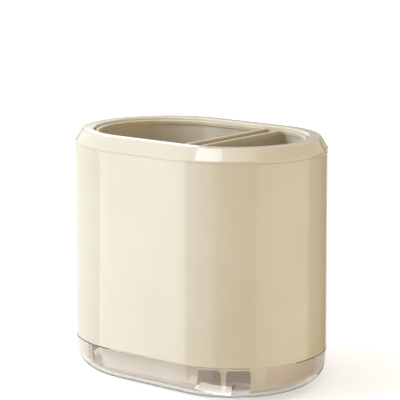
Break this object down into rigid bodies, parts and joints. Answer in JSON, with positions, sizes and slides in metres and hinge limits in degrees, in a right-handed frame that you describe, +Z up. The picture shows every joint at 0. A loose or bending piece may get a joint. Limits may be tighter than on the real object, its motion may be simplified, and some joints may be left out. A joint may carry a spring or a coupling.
{
  "type": "utensil and chopstick holder",
  "caption": "Free-standing kitchen holder: stadium-shaped plastic body with a bevelled ring, lift-out cups and a knife sleeve, on a clear drip tray.",
  "frame": {"origin": "on the surface that the holder stands on, under the middle of its bounding box", "axes": "+Z up, +X along the long side with the chopstick cup at +X, front at -Y"},
  "size_m": [0.2116, 0.1446, 0.192],
  "materials": {
    "cream_plastic": "glossy moulded",
    "inner_plastic": "satin moulded",
    "clear_plastic": "clear moulded plastic",
    "pad_rubber": "soft matte"
  },
  "bodies": {
    "tray": {"drip_tray": "clear_plastic", "tray_pad_front_left": "pad_rubber", "tray_pad_front_right": "pad_rubber", "tray_pad_back_left": "pad_rubber", "tray_pad_back_right": "pad_rubber"},
    "holder": {"outer_shell": "cream_plastic", "top_ring": "cream_plastic", "floor_frame": "inner_plastic"},
    "spoon_cup": {"spoon_cup": "inner_plastic"},
    "spoon_grid": {"spoon_cup_grid": "inner_plastic"},
    "chopstick_cup": {"chopstick_cup": "inner_plastic"},
    "chopstick_grid": {"chopstick_cup_grid": "inner_plastic"},
    "knife_sleeve": {"knife_sleeve": "inner_plastic"}
  },
  "joints": [
    {"name": "holder_lift", "type": "slide", "parent": "tray", "child": "holder", "axis": [0, 0, 1], "range_m": [0, 0.06]},
    {"name": "spoon_cup_lift", "type": "slide", "parent": "holder", "child": "spoon_cup", "axis": [0, 0, 1], "range_m": [0, 0.17]},
    {"name": "spoon_grid_lift", "type": "slide", "parent": "spoon_cup", "child": "spoon_grid", "axis": [0, 0, 1], "range_m": [0, 0.16]},
    {"name": "chopstick_cup_lift", "type": "slide", "parent": "holder", "child": "chopstick_cup", "axis": [0, 0, 1], "range_m": [0, 0.17]},
    {"name": "chopstick_grid_lift", "type": "slide", "parent": "chopstick_cup", "child": "chopstick_grid", "axis": [0, 0, 1], "range_m": [0, 0.16]},
    {"name": "knife_sleeve_lift", "type": "slide", "parent": "holder", "child": "knife_sleeve", "axis": [0, 0, 1], "range_m": [0, 0.17]}
  ]
}
